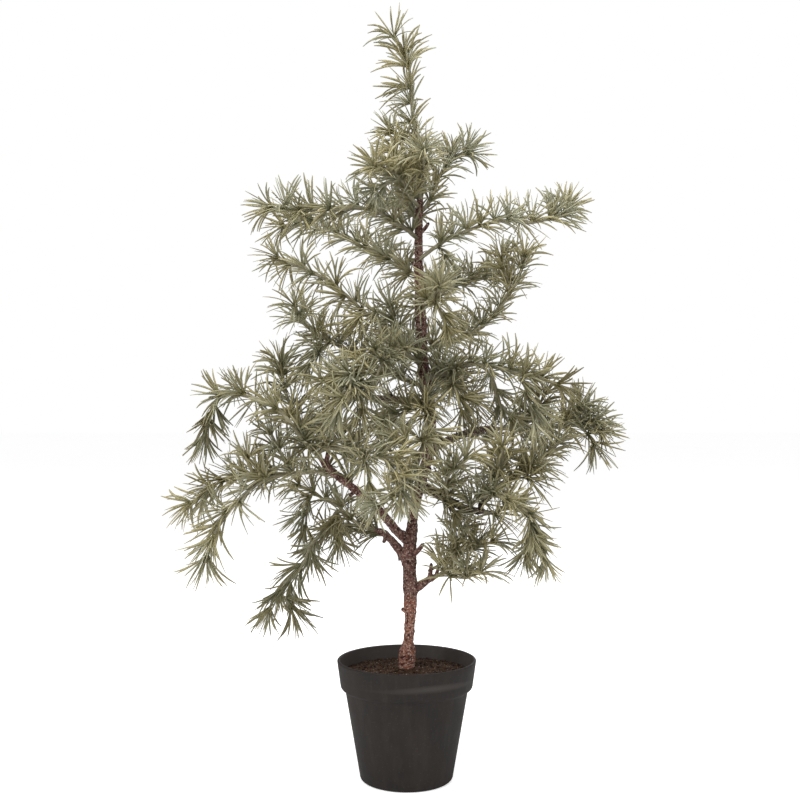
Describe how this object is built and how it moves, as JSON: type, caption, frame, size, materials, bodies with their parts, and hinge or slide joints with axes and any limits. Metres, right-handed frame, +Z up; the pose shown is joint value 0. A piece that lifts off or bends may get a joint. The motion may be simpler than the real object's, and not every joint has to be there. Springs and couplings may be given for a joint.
{
  "type": "artificial tabletop tree",
  "caption": "Small artificial larch or pine with bark-covered bendable boughs and tufts of moulded needles, standing in a plain tapered pot weighted with cement under brown soil.",
  "frame": {"origin": "middle of the pot's flat underside, on the pot's axis", "axes": "+Z up along the pot's axis, +X to the right as the front of the tree is seen, +Y to the back"},
  "size_m": [0.4439, 0.3169, 0.7528],
  "materials": {
    "pot": "matte",
    "soil": "matte",
    "cement": "matte",
    "steel": "satin",
    "bark": "matte",
    "needles": "matte",
    "needles_dark": "matte"
  },
  "bodies": {
    "base": {"pot": "pot", "ballast": "cement", "soil": "soil", "trunk_rod": "steel", "trunk_bark_lower": "bark", "trunk_bark_middle": "bark", "trunk_bark_upper": "bark"},
    "low_left": {"low_left_bark": "bark", "low_left_tip_spray": "needles_dark", "low_left_top_spray": "needles_dark", "low_left_back_spray": "needles_dark", "low_left_wire": "steel"},
    "left": {"left_bark": "bark", "left_arch_spray": "needles", "left_long_spray": "needles", "left_outer_spray": "needles", "left_upright_spray": "needles", "left_front_spray": "needles", "left_wire": "steel"},
    "back_left": {"back_left_bark": "bark", "back_left_tip_spray": "needles_dark", "back_left_low_spray": "needles_dark", "back_left_wire": "steel"},
    "low_right": {"low_right_bark": "bark", "low_right_upper_spray": "needles", "low_right_tip_spray": "needles", "low_right_wire": "steel"},
    "right": {"right_bark": "bark", "right_tip_spray": "needles", "right_fork_bark": "bark", "right_fork_spray": "needles", "right_front_spray": "needles", "right_wire": "steel", "right_fork_wire": "steel"},
    "back_right": {"back_right_bark": "bark", "back_right_tip_spray": "needles_dark", "back_right_low_spray": "needles_dark", "back_right_top_spray": "needles_dark", "back_right_wire": "steel"},
    "middle_right": {"middle_right_spray": "needles", "middle_right_low_spray": "needles"},
    "upper_right": {"upper_right_spray": "needles"},
    "back_upper_right": {"back_upper_right_spray": "needles_dark"},
    "back_middle": {"back_middle_spray": "needles_dark"},
    "top_right": {"top_right_spray": "needles"},
    "front": {"front_spray": "needles"},
    "front_left": {"front_left_spray": "needles"},
    "middle_left": {"middle_left_spray": "needles"},
    "upper_left": {"upper_left_spray": "needles", "upper_left_front_spray": "needles"},
    "back_top_left": {"back_top_left_spray": "needles_dark"},
    "top_left": {"top_left_spray": "needles", "top_left_low_spray": "needles"},
    "crown_left": {"crown_left_spray": "needles"},
    "crown_right": {"crown_right_spray": "needles"},
    "leader": {"leader_spray": "needles"}
  },
  "joints": [
    {"name": "low_left_bend", "type": "hinge", "parent": "base", "child": "low_left", "pos_m": [-0.00713, 0.00644, 0.2123], "axis": [0.5053, 0.8629, 0], "range_deg": [-12, 14]},
    {"name": "left_bend", "type": "hinge", "parent": "base", "child": "left", "pos_m": [-0.00474, -0.00729, 0.2333], "axis": [-0.5737, 0.8191, 0], "range_deg": [-10, 14]},
    {"name": "back_left_bend", "type": "hinge", "parent": "base", "child": "back_left", "pos_m": [0.01673, 0.00811, 0.3673], "axis": [0.7761, 0.6306, 0], "range_deg": [-12, 14]},
    {"name": "low_right_bend", "type": "hinge", "parent": "base", "child": "low_right", "pos_m": [0.0133, -0.00467, 0.1853], "axis": [-0.536, -0.8442, 0], "range_deg": [-14, 16]},
    {"name": "right_bend", "type": "hinge", "parent": "base", "child": "right", "pos_m": [0.01997, -0.00847, 0.2883], "axis": [-0.5878, -0.809, 0], "range_deg": [-12, 12]},
    {"name": "back_right_bend", "type": "hinge", "parent": "base", "child": "back_right", "pos_m": [0.02699, 0.00755, 0.3223], "axis": [0.6821, -0.7312, 0], "range_deg": [-12, 14]},
    {"name": "middle_right_bend", "type": "hinge", "parent": "base", "child": "middle_right", "pos_m": [0.02399, -0.00669, 0.3923], "axis": [-0.4428, -0.8966, 0], "range_deg": [-12, 14]},
    {"name": "upper_right_bend", "type": "hinge", "parent": "base", "child": "upper_right", "pos_m": [0.0211, 0.00737, 0.4193], "axis": [0.3305, -0.9438, 0], "range_deg": [-12, 14]},
    {"name": "back_upper_right_bend", "type": "hinge", "parent": "base", "child": "back_upper_right", "pos_m": [0.01646, 0.00802, 0.4763], "axis": [0.7777, -0.6286, 0], "range_deg": [-12, 14]},
    {"name": "back_middle_bend", "type": "hinge", "parent": "base", "child": "back_middle", "pos_m": [0.02145, 0.0081, 0.3853], "axis": [0.8888, -0.4584, 0], "range_deg": [-12, 14]},
    {"name": "top_right_bend", "type": "hinge", "parent": "base", "child": "top_right", "pos_m": [0.01606, -0.00496, 0.5103], "axis": [-0.1793, -0.9838, 0], "range_deg": [-14, 16]},
    {"name": "front_bend", "type": "hinge", "parent": "base", "child": "front", "pos_m": [0.02076, -0.00955, 0.3733], "axis": [-0.9392, 0.3433, 0], "range_deg": [-8, 12]},
    {"name": "front_left_bend", "type": "hinge", "parent": "base", "child": "front_left", "pos_m": [0.01215, -0.00724, 0.4053], "axis": [-0.7503, 0.6611, 0], "range_deg": [-12, 14]},
    {"name": "middle_left_bend", "type": "hinge", "parent": "base", "child": "middle_left", "pos_m": [0.01062, -0.00223, 0.3843], "axis": [-0.5287, 0.8488, 0], "range_deg": [-10, 14]},
    {"name": "upper_left_bend", "type": "hinge", "parent": "base", "child": "upper_left", "pos_m": [0.00821, 0.0065, 0.4213], "axis": [0.3107, 0.9505, 0], "range_deg": [-12, 14]},
    {"name": "back_top_left_bend", "type": "hinge", "parent": "base", "child": "back_top_left", "pos_m": [0.00805, 0.00729, 0.4923], "axis": [0.6684, 0.7438, 0], "range_deg": [-12, 14]},
    {"name": "top_left_bend", "type": "hinge", "parent": "base", "child": "top_left", "pos_m": [0.0076, -0.00511, 0.5283], "axis": [-0.346, 0.9383, 0], "range_deg": [-14, 14]},
    {"name": "crown_left_bend", "type": "hinge", "parent": "base", "child": "crown_left", "pos_m": [0.00955, -0.00522, 0.5603], "axis": [-0.8075, 0.5898, 0], "range_deg": [-12, 12]},
    {"name": "crown_right_bend", "type": "hinge", "parent": "base", "child": "crown_right", "pos_m": [0.01643, 0.0047, 0.5523], "axis": [0.6365, -0.7713, 0], "range_deg": [-12, 12]},
    {"name": "leader_bend", "type": "hinge", "parent": "base", "child": "leader", "pos_m": [0.0131, 0, 0.5712], "axis": [0, -1, 0], "range_deg": [-15, 15]}
  ]
}
